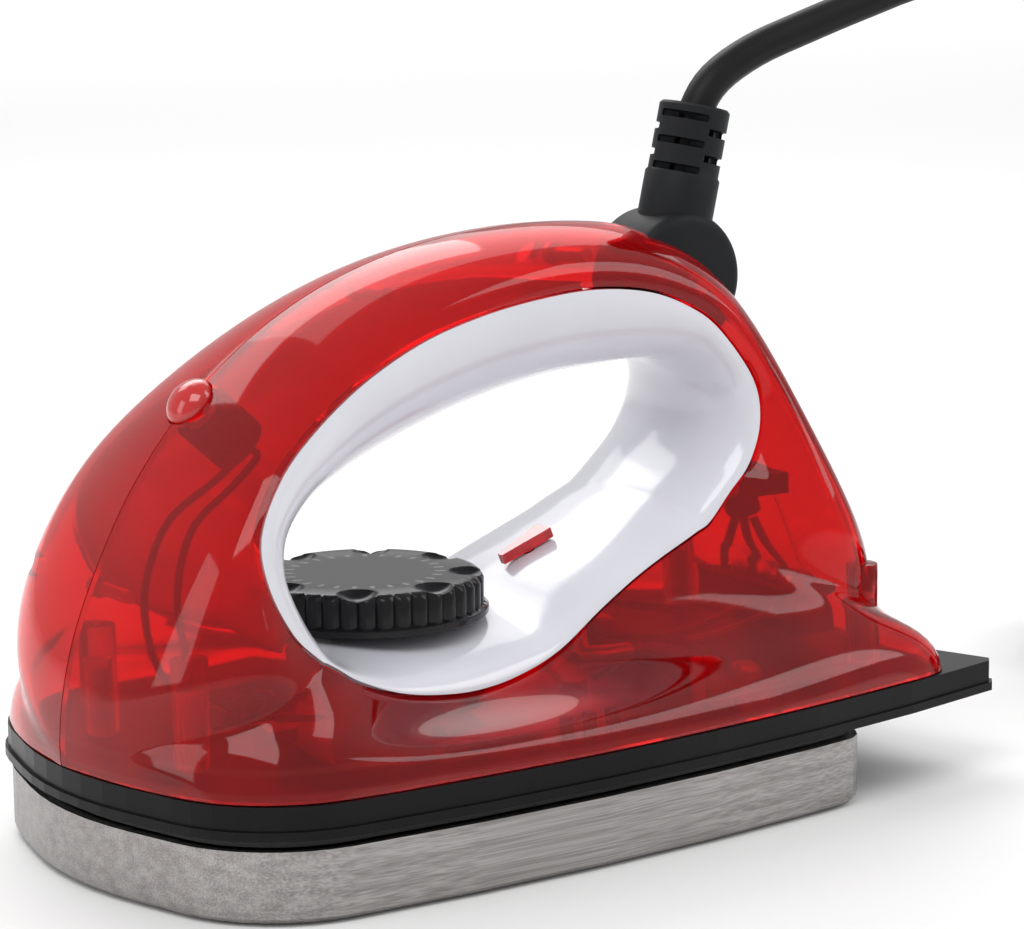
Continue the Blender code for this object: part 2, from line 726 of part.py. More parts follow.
def make_lamp():
    base = lamp_point(0)
    turned("lamp_lens", [(0, 2.4), (2.5, 1.9), (4.0, 0.9), (LENS_RADIUS, 0), (LENS_RADIUS, -1.2),
                         (3.6, -1.2), (3.6, -6), (0, -6)], base, red_clear, -LAMP_TILT, 24)
    turned("lamp_holder", [(0, -13.3), (3.9, -13.3), (3.9, -4.6), (5.4, -4.6), (5.4, -14),
                           (0, -14)], base, black_plastic, -LAMP_TILT, 20)
    turned("neon_lamp", [(0, -6.4), (1.8, -7), (2.6, -8.5), (2.6, -13), (0, -13)], base, glass,
           -LAMP_TILT, 16)
    wires = []
    for side in (-1, 1):
        route = [lamp_point(-15, 2 * side), lamp_point(-17, 2.4 * side), (34, 3 * side, 66.5),
                 (26, 4 * side, 61), (22, 5 * side, 53), (21, 6 * side, 44), (24, 7 * side, 33),
                 (33, 9 * side, 26), (49, 9.5 * side, 24)]
        wires.append(wire("lamp_wire", route, rubber, 0.7))
    number("lamp_wire", wires)


# ---------------------------------------------------------------- thermostat
def make_thermostat():
    bracket = box("thermostat_bracket", (45, -7, SOLE_TOP + GAP), (81, 7, SOLE_TOP + 1.3), steel)
    cut(bracket, *[rod("bracket_hole", (x, y, 12), (x, y, 16), 1.9, sides=12)
                   for x, y in THERMOSTAT_SCREWS])
    body = box("thermostat_body", (52.6, -6, 14.6), (73.6, 6, 23.6), ceramic)
    cut(body, rod("body_bore", (KNOB_X, 0, 21), (KNOB_X, 0, 25), SHAFT_RADIUS + GAP, sides=20))
    number("thermostat_screw", [screw(x, y, SOLE_TOP + 1.6, 7, 1.5, 2.6)
                                for x, y in THERMOSTAT_SCREWS])
    number("thermostat_tab", [box("tab", (73.9, y - 1.4, 18), (82.5, y + 1.4, 18.8), brass)
                              for y in (-3.4, 3.4)])
    ring("thermostat_bush", SHAFT_RADIUS + GAP, 5.2, (KNOB_X, 0, 23.9), 5.6, brass)
    box("bimetal_strip", (55, 6.6, 16), (72, 7.4, 22), brass)


def make_knob():
    """Knob with a ribbed edge and scalloped top, its shaft and the clip that keeps it down."""
    top = KNOB_HEIGHT
    profile = [(0, top), (19.6, top), (20.8, top - 0.4), (KNOB_GRIP_RADIUS, top - 1.2),
               (KNOB_GRIP_RADIUS, 1.4), (KNOB_RADIUS, 1.2), (KNOB_RADIUS, 0), (HUB_RADIUS, 0),
               (HUB_RADIUS, -5.2), (SHAFT_RADIUS + GAP, -5.2), (SHAFT_RADIUS + GAP, 5.4),
               (0, 5.4)]
    knob = turned("thermostat_knob", profile, (KNOB_X, 0, KNOB_BASE), black_gloss, steps=40)
    grooves, dimples = [], []
    for i in range(KNOB_RIBS):
        angle = math.tau * i / KNOB_RIBS
        x = KNOB_X + (KNOB_GRIP_RADIUS + 0.2) * math.cos(angle)
        y = (KNOB_GRIP_RADIUS + 0.2) * math.sin(angle)
        grooves.append(rod("groove", (x, y, KNOB_BASE + 1.7), (x, y, KNOB_BASE + 9), 0.75,
                           sides=6))
    for i in range(KNOB_DIMPLES):
        angle = KNOB_PHASE + math.tau * i / KNOB_DIMPLES
        bm = bmesh.new()
        bmesh.ops.create_uvsphere(bm, u_segments=12, v_segments=8, radius=5.2 * MM)
        dimple = from_bmesh("dimple", bm)
        dimple.location = place(KNOB_X + 19 * math.cos(angle), 19 * math.sin(angle),
                                KNOB_BASE + top + 3.6)
        dimples.append(dimple)
    smooth(cut(knob, cutter_group("knob_grooves", grooves), cutter_group("knob_dimples", dimples)))
    knob.parent = knob_axis
    knob.location = knob.location - knob_axis.location
    for name, obj in (
            ("thermostat_shaft", rod("thermostat_shaft", (KNOB_X, 0, 21.5),
                                     (KNOB_X, 0, KNOB_BASE + 5.1), SHAFT_RADIUS, steel)),
            ("knob_clip", ring("knob_clip", SHAFT_RADIUS + GAP, 4.9, (KNOB_X, 0, 30), 1.0,
                               steel))):
        obj.parent = knob_axis
        obj.location = obj.location - knob_axis.location


# ---------------------------------------------------------------- cord outlet
def make_swivel():
    """Rubber drum with a slotted bend sleeve, which rocks on a pin between the shells."""
    pivot = place(DRUM_X, 0, DRUM_Z)
    sleeve = turned("bend_sleeve", [(0, SLEEVE_FLOOR), (SLEEVE_BORE, SLEEVE_FLOOR),
                                    (SLEEVE_BORE, SLEEVE_MOUTH), (SLEEVE_RADIUS, SLEEVE_MOUTH),
                                    (SLEEVE_RADIUS, 20), (SLEEVE_RADIUS + 0.4, 19),
                                    (SLEEVE_RADIUS + 0.4, 8), (0, 8)],
                    (DRUM_X, 0, DRUM_Z), rubber, SLEEVE_TILT, 24)
    frame = Matrix.Translation(pivot) @ Matrix.Rotation(math.radians(SLEEVE_TILT), 4, "Y")
    drum = rod("drum", (DRUM_X, -DRUM_HALF_WIDTH, DRUM_Z), (DRUM_X, DRUM_HALF_WIDTH, DRUM_Z),
               DRUM_RADIUS, sides=28)
    bevel = drum.modifiers.new("Rounding", "BEVEL")
    bevel.width = 2.2 * MM
    bevel.segments = 3
    bevel.limit_method = "ANGLE"
    slots = []
    for row in range(SLOT_ROWS):
        for side in (0, 1):
            bm = bmesh.new()
            bmesh.ops.create_cube(bm, size=1.0)
            bmesh.ops.scale(bm, vec=(4 * MM, 9.4 * MM, 1.4 * MM), verts=bm.verts)
            slot = from_bmesh("sleeve_slot", bm)
            turn = math.radians(90 * (row % 2) + 180 * side + 35)
            slot.matrix_world = (frame @ Matrix.Rotation(turn, 4, "Z")
                                 @ Matrix.Translation((6.1 * MM, 0, (20.6 + 2.5 * row) * MM)))
            slots.append(slot)
    join(sleeve, drum)
    pin_bore = rod("pin_bore", (DRUM_X, -20, DRUM_Z), (DRUM_X, 20, DRUM_Z), PIN_RADIUS + GAP,
                   sides=16)
    smooth(cut(sleeve, cutter_group("sleeve_slots", slots), pin_bore))
    sleeve.parent = swivel_axis
    sleeve.location = sleeve.location - swivel_axis.location
    rod("swivel_pin", (DRUM_X, -12, DRUM_Z), (DRUM_X, 12, DRUM_Z), PIN_RADIUS, steel, sides=16)


# ---------------------------------------------------------------- wiring
def make_wiring():
    route = [(138.8, 0, 80.2), (141.2, 0, 75.5), (144.2, 0, 69), (147.5, 0, 61), (150.3, 0, 53.5),
             (152, 0, 47)]
    tube("inner_cord", spline_through(route, 2), CORD_RADIUS, rubber)
    clamp = box("cord_clamp", (144, -9.5, 52), (155.2, 9.5, 56), black_plastic)
    cut(clamp, tube("clamp_bore", spline_through(route, 2), CORD_RADIUS + GAP),
        *[rod("clamp_hole", (140, y, 54), (160, y, 54), 1.4, sides=12) for y in (-7, 7)])
    screws = []
    for y in (-7, 7):
        profile = [(0, 13.8), (2.2, 13.8), (2.2, 12.3), (1.1, 12.3), (1.1, 0.8), (0, 0.8)]
        obj = turned("screw", profile, (156, y, 54), steel, steps=12)
        obj.rotation_euler = (0, math.radians(-90), 0)
        screws.append(obj)
    number("clamp_screw", screws)

    block = box("terminal_block", (152, -15, 24), (162, 15, 33), black_plastic)
    cut(block, *[rod("block_hole", (158.5, y, 27), (158.5, y, 36), 1.6, sides=12)
                 for y in (-9, 0, 9)])
    number("terminal_screw", [screw(158.5, y, 33.3, 28, 1.3, 2.2) for y in (-9, 0, 9)])

    wire("live_wire", [(152.4, -2.4, 46.2), (152.8, -5, 42), (154, -8.5, 37), (154.2, -9, 33.6)],
         brown)
    wire("neutral_wire", [(152.4, 2.4, 46.2), (152.8, 5, 42), (154, 8.5, 37), (154.2, 9, 33.6)],
         blue)
    wire("earth_wire", [(152, 0, 46.2), (152.6, 0, 42), (154, 0, 37), (154.2, 0, 33.6)], green)
    wire("fuse_lead", [(151.6, -9, 28), (142, -9.5, 26), (130, -9.5, 25), (116.4, -9.5, 25)],
         brown)
    rod("thermal_fuse", (104, -9.5, 25), (116, -9.5, 25), 2.0, aluminium, sides=16)
    wire("thermostat_lead", [(103.6, -9.5, 25), (95, -7.5, 23.5), (88, -4.5, 20),
                             (83.2, -3.4, 18.6)], brown)
    wire("element_lead", [(83.2, 3.4, 18.6), (90, 5, 22.5), (99, 0, 28), (109, -13, 30),
                          (118, -23, 29.5), (121.4, -26, 27.2)], blue)
    wire("return_lead", [(151.6, 9, 28), (142, 11, 26.5), (131, 18, 27.5), (124, 24.5, 28.2),
                         (121.5, 26, 27.2)], blue)
    x, y = EARTH_SCREW
    wire("earth_lead", [(151.6, 0, 28), (142, 0, 25), (130, 0, 23.5), (121, 0, 19.5),
                        (x + 4.6, 0, 17)], green)
    screw(x, y, SHIELD_BOTTOM + SHIELD_THICKNESS + GAP, 7).name = "earth_screw"


# ---------------------------------------------------------------- mains cord
def make_mains():
    """Cord from the sleeve to a coil behind the heel, with its plug on the coil."""
    tube("mains_cord", spline_through(CORD_ROUTE, 2), CORD_RADIUS, rubber)
    low, high = COIL_MID_RADIUS - COIL_HALF_WIDTH, COIL_MID_RADIUS + COIL_HALF_WIDTH
    profile = [(low + 2, COIL_HEIGHT), (high - 2, COIL_HEIGHT), (high, COIL_HEIGHT - 2.5),
               (high, 2.5), (high - 2, 0), (low + 2, 0), (low, 2.5), (low, COIL_HEIGHT - 2.5),
               (low + 2, COIL_HEIGHT)]
    turned("cord_coil", profile, (COIL_X, COIL_Y, 0), rubber, steps=40)

    start_z = COIL_HEIGHT + GAP + CORD_RADIUS + 0.05
    lead = []
    steps = 12
    for i in range(steps + 1):
        t = i / steps
        angle = math.radians(LEAD_START + (LEAD_END - LEAD_START) * t)
        lead.append((COIL_X + COIL_MID_RADIUS * math.cos(angle),
                     COIL_Y + COIL_MID_RADIUS * math.sin(angle),
                     start_z + (PLUG_Z - start_z) * t * t * (3 - 2 * t)))
    tube("plug_lead", lead, CORD_RADIUS, rubber)

    y = lead[-1][1]
    plug = box("mains_plug", (PLUG_X - 47, y - 12, PLUG_Z - 11), (PLUG_X - 12, y + 12, PLUG_Z + 11),
               black_plastic)
    bevel = plug.modifiers.new("Rounding", "BEVEL")
    bevel.width = 4 * MM
    bevel.segments = 2
    relief = rod("plug_relief", (PLUG_X - 14, y, PLUG_Z), (PLUG_X, y, PLUG_Z), 6.5, tip=4.6)
    join(plug, relief)
    pins = [box("pin", (PLUG_X - 64, y + dy - 0.75, PLUG_Z + 0.8),
                (PLUG_X - 42, y + dy + 0.75, PLUG_Z + 7.1)) for dy in (-6.3, 6.3)]
    pins.append(rod("pin", (PLUG_X - 66, y, PLUG_Z - 5), (PLUG_X - 42, y, PLUG_Z - 5), 2.4,
                    sides=16))
    join(plug, *pins)


# ---------------------------------------------------------------- build
for old in list(bpy.data.objects):
    bpy.data.objects.remove(old)
parts = bpy.data.collections.new("waxing_iron")
cutters = bpy.data.collections.new("cutters")
bpy.context.scene.collection.children.link(parts)
bpy.context.scene.collection.children.link(cutters)
SIDE = side_line()

aluminium = material("sole aluminium", (0.55, 0.54, 0.53), 0.35, 1.0)
steel = material("steel", (0.6, 0.6, 0.62), 0.3, 1.0)
brass = material("brass", (0.75, 0.6, 0.3), 0.3, 1.0)
red_shell = material("clear red housing", (0.75, 0.01, 0.02), 0.12, 0.0, 0.85)
red_clear = material("clear red trim", (0.9, 0.05, 0.05), 0.1, 0.0, 0.8)
white_plastic = material("white liner", (0.85, 0.85, 0.88), 0.22)
black_plastic = material("black plastic", (0.02, 0.02, 0.022), 0.4)
black_gloss = material("knob black", (0.015, 0.015, 0.017), 0.25)
rubber = material("black rubber", (0.025, 0.026, 0.028), 0.6)
silicone = material("grey silicone", (0.06, 0.06, 0.06), 0.7)
ceramic = material("ceramic", (0.8, 0.78, 0.72), 0.5)
glass = material("lamp glass", (0.9, 0.9, 0.9), 0.05, 0.0, 0.4)
brown = material("brown wire", (0.2, 0.08, 0.03), 0.5)
blue = material("blue wire", (0.03, 0.12, 0.5), 0.5)
green = material("green wire", (0.1, 0.4, 0.08), 0.5)

knob_axis = bpy.data.objects.new("knob_axis", None)
knob_axis.location = place(KNOB_X, 0, KNOB_BASE)
swivel_axis = bpy.data.objects.new("swivel_axis", None)
swivel_axis.location = place(DRUM_X, 0, DRUM_Z)
parts.objects.link(knob_axis)
parts.objects.link(swivel_axis)

make_sole()
make_shield()
make_gasket()
make_skirt()
make_base_screws()
make_shells()
make_liner()
make_pointer()
make_lamp()
make_thermostat()
make_knob()
make_swivel()
make_wiring()
make_mains()
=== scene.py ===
import math

import bpy
from mathutils import Matrix, Vector


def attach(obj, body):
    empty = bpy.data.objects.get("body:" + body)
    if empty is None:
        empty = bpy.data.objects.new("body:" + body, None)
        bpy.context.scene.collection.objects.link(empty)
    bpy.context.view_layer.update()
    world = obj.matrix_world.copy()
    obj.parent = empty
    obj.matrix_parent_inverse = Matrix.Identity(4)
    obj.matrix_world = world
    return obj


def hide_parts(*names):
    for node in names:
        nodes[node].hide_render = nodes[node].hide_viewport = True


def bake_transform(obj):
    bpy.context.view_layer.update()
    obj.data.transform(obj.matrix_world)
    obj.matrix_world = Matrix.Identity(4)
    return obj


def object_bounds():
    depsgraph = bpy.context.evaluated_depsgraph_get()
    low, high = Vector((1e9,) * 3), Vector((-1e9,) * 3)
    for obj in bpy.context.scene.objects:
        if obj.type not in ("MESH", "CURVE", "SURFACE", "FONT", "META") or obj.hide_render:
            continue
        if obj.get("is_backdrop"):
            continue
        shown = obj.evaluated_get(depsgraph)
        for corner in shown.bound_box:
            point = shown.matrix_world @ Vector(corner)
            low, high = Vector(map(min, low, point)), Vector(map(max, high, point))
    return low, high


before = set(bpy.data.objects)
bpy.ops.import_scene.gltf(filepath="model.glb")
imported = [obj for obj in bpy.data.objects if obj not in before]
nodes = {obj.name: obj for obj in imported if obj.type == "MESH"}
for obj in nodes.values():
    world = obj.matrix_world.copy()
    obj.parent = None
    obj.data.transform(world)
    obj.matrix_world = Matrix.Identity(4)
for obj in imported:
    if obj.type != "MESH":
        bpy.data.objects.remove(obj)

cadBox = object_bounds()
print("frame loaded:", len(nodes), "nodes")

mm = 0.001
noseToCentre = 91.0  # the frame's origin lies this far behind the nose


def spot(x, y, z):
    # millimetres counted from the nose tip, to metres in the frame
    return Vector(((x - noseToCentre) * mm, y * mm, z * mm))


def throughPoints(points, steps, closed=False):
    # a smooth curve through rows of numbers of any length
    count = len(points)
    rows = []
    for i in range(count if closed else count - 1):
        if closed:
            four = [points[(i + k) % count] for k in (-1, 0, 1, 2)]
        else:
            four = [points[min(max(i + k, 0), count - 1)] for k in (-1, 0, 1, 2)]
        for step in range(steps):
            t = step / steps
            rows.append(tuple(
                0.5 * (2 * b + (c - a) * t + (2 * a - 5 * b + 4 * c - d) * t * t
                       + (3 * b - a - 3 * c + d) * t ** 3)
                for a, b, c, d in zip(*four)))
    if not closed:
        rows.append(tuple(points[-1]))
    return rows


# ---- modelling by hand, in short calls
def dropSelection():
    bpy.ops.object.select_all(action="DESELECT")


def pick(piece):
    dropSelection()
    piece.select_set(True)
    bpy.context.view_layer.objects.active = piece


def fresh(name):
    # the piece that a primitive call has just made
    piece = bpy.context.object
    piece.name = name
    piece.data.name = name
    return piece


def settle(piece):
    pick(piece)
    bpy.ops.object.transform_apply(location=True, rotation=True, scale=True)
    return piece


def addCylinder(name, start, end, radius, sides=32):
    along = end - start
    dropSelection()
    bpy.ops.mesh.primitive_cylinder_add(vertices=sides, radius=radius * mm, depth=along.length,
                                        location=(start + end) / 2)
    piece = fresh(name)
    piece.rotation_euler = along.to_track_quat("Z", "Y").to_euler()
    return settle(piece)


def useModifier(piece, kind, **settings):
    pick(piece)
    modifier = piece.modifiers.new(kind.title(), kind)
    for key, value in settings.items():
        setattr(modifier, key, value)
    bpy.ops.object.modifier_apply(modifier=modifier.name)


def carve(piece, cutter, operation="DIFFERENCE"):
    useModifier(piece, "BOOLEAN", operation=operation, solver="EXACT", object=cutter)
    bpy.data.objects.remove(cutter)


def smoothEdges(piece, angle=40):
    pick(piece)
    bpy.ops.object.shade_smooth_by_angle(angle=math.radians(angle))


def gridPiece(name, rows, closed=True):
    # a grid whose points are moved to the given rows, and whose ends are sewn when closed
    rows = rows + [rows[0]] if closed else rows
    across = len(rows[0])
    dropSelection()
    bpy.ops.mesh.primitive_grid_add(x_subdivisions=len(rows) - 1, y_subdivisions=across - 1,
                                    size=1)
    piece = fresh(name)
    for i, vert in enumerate(piece.data.vertices):
        vert.co = rows[i % len(rows)][i // len(rows)]
    bpy.ops.object.mode_set(mode="EDIT")
    bpy.ops.mesh.select_all(action="SELECT")
    bpy.ops.mesh.remove_doubles(threshold=0.00001)
    bpy.ops.object.mode_set(mode="OBJECT")
    return piece


# ---- shader maths
class Number:
    def __init__(self, paint, socket):
        self.paint = paint
        self.socket = socket

    def maths(self, operation, first, second):
        return self.paint.add("Math", {"operation": operation}, {0: first, 1: second})

    def __add__(self, other):
        return self.maths("ADD", self, other)

    def __sub__(self, other):
        return self.maths("SUBTRACT", self, other)

    def __rsub__(self, other):
        return self.maths("SUBTRACT", other, self)

    def __mul__(self, other):
        return self.maths("MULTIPLY", self, other)

    def __pow__(self, other):
        return self.maths("POWER", self, other)

    __radd__ = __add__
    __rmul__ = __mul__

    def fade(self, low, high):
        # 0 below low, 1 above high
        return self.paint.add("MapRange", {"interpolation_type": "SMOOTHSTEP"},
                              {"Value": self, "From Min": low, "From Max": high})


class Paint:
    def __init__(self, name, **fixed):
        self.material = bpy.data.materials.new(name)
        self.material.use_nodes = True
        self.tree = self.material.node_tree
        self.shader = self.tree.nodes["Principled BSDF"]
        for key, value in fixed.items():
            self.shader.inputs[key.replace("_", " ")].default_value = value
        self.place = self.add("TexCoord", output="Object")

    def add(self, kind, settings={}, inputs={}, output=0):
        node = self.tree.nodes.new("ShaderNode" + kind)
        for key, value in settings.items():
            setattr(node, key, value)
        for key, value in inputs.items():
            if isinstance(value, Number):
                self.tree.links.new(value.socket, node.inputs[key])
            else:
                node.inputs[key].default_value = value
        return Number(self, node.outputs[output])

    def grain(self, scale, stretch=(1, 1, 1), detail=3.0):
        place = self.add("Mapping", {}, {"Vector": self.place, "Scale": stretch})
        return self.add("TexNoise", {}, {"Vector": place, "Scale": scale, "Detail": detail},
                        "Fac")

    def axis(self, letter):
        return self.add("SeparateXYZ", {}, {"Vector": self.place}, letter)

    def mixed(self, factor, first, second):
        return self.add("Mix", {"data_type": "RGBA"}, {0: factor, 6: first, 7: second}, 2)

    def put(self, **links):
        for key, value in links.items():
            self.tree.links.new(value.socket, self.shader.inputs[key.replace("_", " ")])

    def relief(self, height, strength, depth=0.0002):
        bump = self.add("Bump", {}, {"Height": height, "Strength": strength, "Distance": depth})
        self.put(Normal=bump)


def moulded(name, light, dark, roughness, spread=0.08, scale=900, bump=0.06, **fixed):
    # plastic, rubber and other plain stuff: mottled colour, uneven gloss, fine grain
    paint = Paint(name, **fixed)
    clouds = paint.grain(28, detail=4)
    fine = paint.grain(scale)
    paint.put(Base_Color=paint.mixed(clouds.fade(0.3, 0.7), (*dark, 1), (*light, 1)),
              Roughness=(clouds - 0.5) * spread + (fine - 0.5) * spread * 0.5 + roughness)
    paint.relief(fine, bump)
    return paint


paints = {}
paints["white"] = moulded("gloss white liner", (0.74, 0.74, 0.80), (0.70, 0.70, 0.76), 0.16,
                          0.04, 400, 0.015, Coat_Weight=0.4, Coat_Roughness=0.05)
paints["knob"] = moulded("knob black", (0.010, 0.010, 0.011), (0.005, 0.005, 0.006), 0.18, 0.06,
                         1500, 0.05, Specular_IOR_Level=0.22)
dialPaint = paints["knob"]
across, along = dialPaint.axis("X") + 0.0279, dialPaint.axis("Y")
radius = (across * across + along * along) ** 0.5
turn = across.maths("ARCTAN2", along, across)
ticks = across.maths("SINE", turn * 27, 0.0).fade(0.5, 0.8)
ring = radius.fade(0.0128, 0.0131) * (1 - radius.fade(0.0146, 0.0149))
marks = ticks * ring * dialPaint.axis("Z").fade(0.0471, 0.0472)
dialPaint.put(Base_Color=dialPaint.mixed(marks * 0.5, (0.008, 0.008, 0.009, 1),
                                         (0.35, 0.35, 0.36, 1)))
paints["band"] = moulded("band black", (0.010, 0.010, 0.011), (0.006, 0.006, 0.007), 0.3, 0.1,
                         1400, 0.08, Specular_IOR_Level=0.12)
paints["rubber"] = moulded("matt rubber", (0.014, 0.015, 0.017), (0.009, 0.010, 0.011), 0.5, 0.12,
                           1600, 0.2, Specular_IOR_Level=0.15)
paints["cord"] = moulded("cord jacket", (0.012, 0.012, 0.013), (0.008, 0.008, 0.009), 0.42, 0.1,
                         1200, 0.12, Specular_IOR_Level=0.15)
paints["silicone"] = moulded("dark silicone", (0.05, 0.05, 0.05), (0.03, 0.03, 0.03), 0.7)
paints["ceramic"] = moulded("ceramic body", (0.82, 0.79, 0.72), (0.72, 0.69, 0.62), 0.5)
paints["brown"] = moulded("brown insulation", (0.22, 0.09, 0.03), (0.16, 0.06, 0.02), 0.42)
paints["blue"] = moulded("blue insulation", (0.03, 0.12, 0.5), (0.02, 0.09, 0.4), 0.42)
paints["green"] = moulded("earth insulation", (0.12, 0.42, 0.08), (0.08, 0.32, 0.05), 0.42)
paints["steel"] = moulded("plain steel", (0.62, 0.62, 0.64), (0.5, 0.5, 0.52), 0.32, 0.15, 700,
                          0.08, Metallic=1.0)
paints["brass"] = moulded("plain brass", (0.78, 0.6, 0.28), (0.66, 0.5, 0.22), 0.3, 0.15, 700,
                          0.06, Metallic=1.0)
paints["lamp"] = moulded("neon glass", (0.9, 0.6, 0.5), (0.85, 0.52, 0.42), 0.08, 0.04, 300, 0.01,
                         Transmission_Weight=0.8, IOR=1.5)
paints["trim"] = moulded("clear red trim", (0.8, 0.02, 0.02), (0.6, 0.01, 0.015), 0.1, 0.05, 500,
                         0.02, Transmission_Weight=0.35, IOR=1.49, Coat_Weight=0.5,
                         Coat_Roughness=0.04)

# brushed sole: fine lines along its length, broad bands of gloss
sole = Paint("brushed aluminium", Metallic=1.0, Anisotropic=0.5)
lines = sole.grain(60, (0.35, 60, 60), 4)
streaks = sole.grain(20, (0.2, 20, 30), 3)
patches = sole.grain(9)
sole.put(Base_Color=sole.mixed((lines * 0.6 + streaks * 0.4).fade(0.3, 0.7),
                               (0.24, 0.225, 0.215, 1), (0.46, 0.44, 0.43, 1)),
         Roughness=streaks * 0.14 + patches * 0.08 + 0.22)
sole.relief(lines, 0.12, 0.0001)
paints["sole"] = sole

# clear red housing: deep red body, painted darker low down as painted shade, with a painted bright
# line of light along its foot and a fainter painted line of light above it
shell = Paint("clear red housing", Transmission_Weight=0.86, IOR=1.4, Specular_IOR_Level=0.28)
height = shell.axis("Z")
clouds = shell.grain(22, detail=3)
# painted light: a bright red line along the foot just above the band, and a fainter painted line
# of light about 5 mm higher
foot = 1 - height.fade(0.0222, 0.0232)
paintedLightLine = height.fade(0.0256, 0.0262) * (1 - height.fade(0.0264, 0.0272))
# painted shade: the lower part of the shell darkened in cloudy patches, fading out with height
paintedLowShade = shell.grain(45, detail=5).fade(0.35, 0.65) * (1 - height.fade(0.026, 0.052)) * 0.55
deep = shell.mixed(clouds.fade(0.3, 0.7), (0.84, 0.0, 0.003, 1), (0.97, 0.0, 0.005, 1))
deep = shell.mixed(paintedLowShade, deep, (0.3, 0.0, 0.002, 1))
shell.put(Base_Color=shell.mixed(foot * 0.9 + paintedLightLine * 0.45, deep, (0.95, 0.05, 0.05, 1)),
          Roughness=clouds * 0.04 + shell.grain(500) * 0.02 + 0.02)
shell.relief(shell.grain(90), 0.03, 0.0003)
paints["shell"] = shell
print("paints mixed:", len(paints))

dressing = {
    "sole": ["sole_plate"],
    "band": ["base_skirt", "lamp_holder", "cord_clamp", "terminal_block", "mains_plug"],
    "silicone": ["sole_gasket"],
    "white": ["grip_liner"],
    "knob": ["thermostat_knob"],
    "shell": ["left_shell", "right_shell"],
    "trim": ["lamp_lens", "temperature_pointer"],
    "lamp": ["neon_lamp"],
    "ceramic": ["thermostat_body"],
    "brass": ["thermostat_bush", "bimetal_strip"],
    "rubber": ["bend_sleeve", "lamp_wire_1", "lamp_wire_2"],
    "cord": ["inner_cord", "mains_cord", "cord_coil", "plug_lead"],
    "brown": ["live_wire", "fuse_lead", "thermostat_lead"],
    "blue": ["neutral_wire", "element_lead", "return_lead"],
    "green": ["earth_wire", "earth_lead"],
}
finishOf = {node: paint for paint, names in dressing.items() for node in names}


def dress(piece, paint):
    piece.data.materials.clear()
    piece.data.materials.append(paints[paint].material)


for name, node in nodes.items():
    dress(node, finishOf.get(name, "steel"))

# ---- housing
housing = {
    "halfGap": 0.15,
    "foot": 21.2,
    "wall": 2.0,
    "rimStep": 0.5,
    "stepsPerRib": 5,
    "ribSteps": 16,
    "easing": 10,
    # spine point (x, z), bulge at spine and at rim, rim (x, half width, z)
    "spine": [
        (0, 21, 20, 13, 31.5, 35, 42.1), (0.3, 31, 28, 13, 26.5, 35, 47.0),
        (3, 43, 30, 6, 22.6, 34, 55.3), (8.5, 56, 25, 1, 22.4, 32, 63.6),
        (16, 69, 20, -1, 27.7, 29.5, 72), (27, 82, 15, 0, 35.7, 26.5, 78.4),
        (41, 93, 13, 0, 48, 23.5, 85.7), (57, 101, 12, 0, 62.2, 21, 91.5),
        (75, 106, 11, 0.5, 76, 19.5, 94.9), (93, 108, 11, 1, 89.9, 18.5, 96.8),
        (109, 108, 12, 1, 103, 18, 97.4), (123, 106, 12, 1, 115.1, 18, 95.9),
        (135, 100.5, 13, 2, 124.5, 18, 92.3), (144, 91, 15, 3, 131.6, 18, 87.3),
        (150.5, 76, 20, 5, 138.8, 18.9, 77.5), (157, 60, 28, 10, 139.2, 20.5, 69.5),
        (164, 44, 36, 18, 136, 21.3, 62), (168.4, 33, 34, 19, 131, 21.6, 57),
        (171.5, 21, 29, 18, 126, 21.9, 52)],
    # foot point (x, half width), rise, bulge at the rim, rim (x, half width, z)
    "skirt": [
        (172, 18, 8, 19, 123, 22, 50.6), (171.5, 32, 10, 18, 119, 22.2, 48.9),
        (166, 42, 12, 15, 114, 22.4, 46.8), (150, None, 13, 12, 107, 23.4, 43.9),
        (125, None, 11, 10, 98, 25, 39.6), (100, None, 9, 10, 87.1, 27.5, 34.2),
        (80, None, 8, 10, 76.8, 29.5, 31.5), (62, None, 8, 10, 67.1, 31, 30.6),
        (47, None, 8, 10, 57.9, 32, 31.3), (33, None, 9, 10, 48.9, 33, 33.2),
        (20, None, 11, 11, 40.1, 34, 36.8), (9, None, 11, 12, 35.5, 34.7, 39.7),
        (2.6, None, 11, 13, 33, 35, 41.2)],
    # middle line of the white liner, a point for each rib
    "waist": [
        (37.6, 43.6), (36.2, 48.5), (34.5, 55), (37, 60.5), (43, 64.5), (51, 67.5), (60, 70.3),
        (70, 73.3), (79.5, 76), (90, 78.3), (101, 80), (112, 80.7), (121.5, 81), (128.5, 80),
        (132.5, 75.5), (133, 68.7), (130.5, 64.3), (126.5, 60), (122, 57), (120.5, 56),
        (117, 54.4), (112.3, 52), (104.8, 48.6), (95.7, 44.6), (87, 39.4), (77, 38.8),
        (68, 38.6), (59, 38.6), (51.5, 38.8), (45, 39), (40.2, 39.6), (38.6, 41)],
    "linerWall": 1.7,
    "linerSteps": 28,
    # plan outline: nose arc, flat, shoulder, then the slow curve of the side
    "plan": {"noseRadius": 72.4, "noseTurn": 14.8, "noseFlat": 11.0,
             "shoulderRadius": 27.1, "sideAngle": 4.65, "sideRadius": 550.0, "length": 182.0},
}


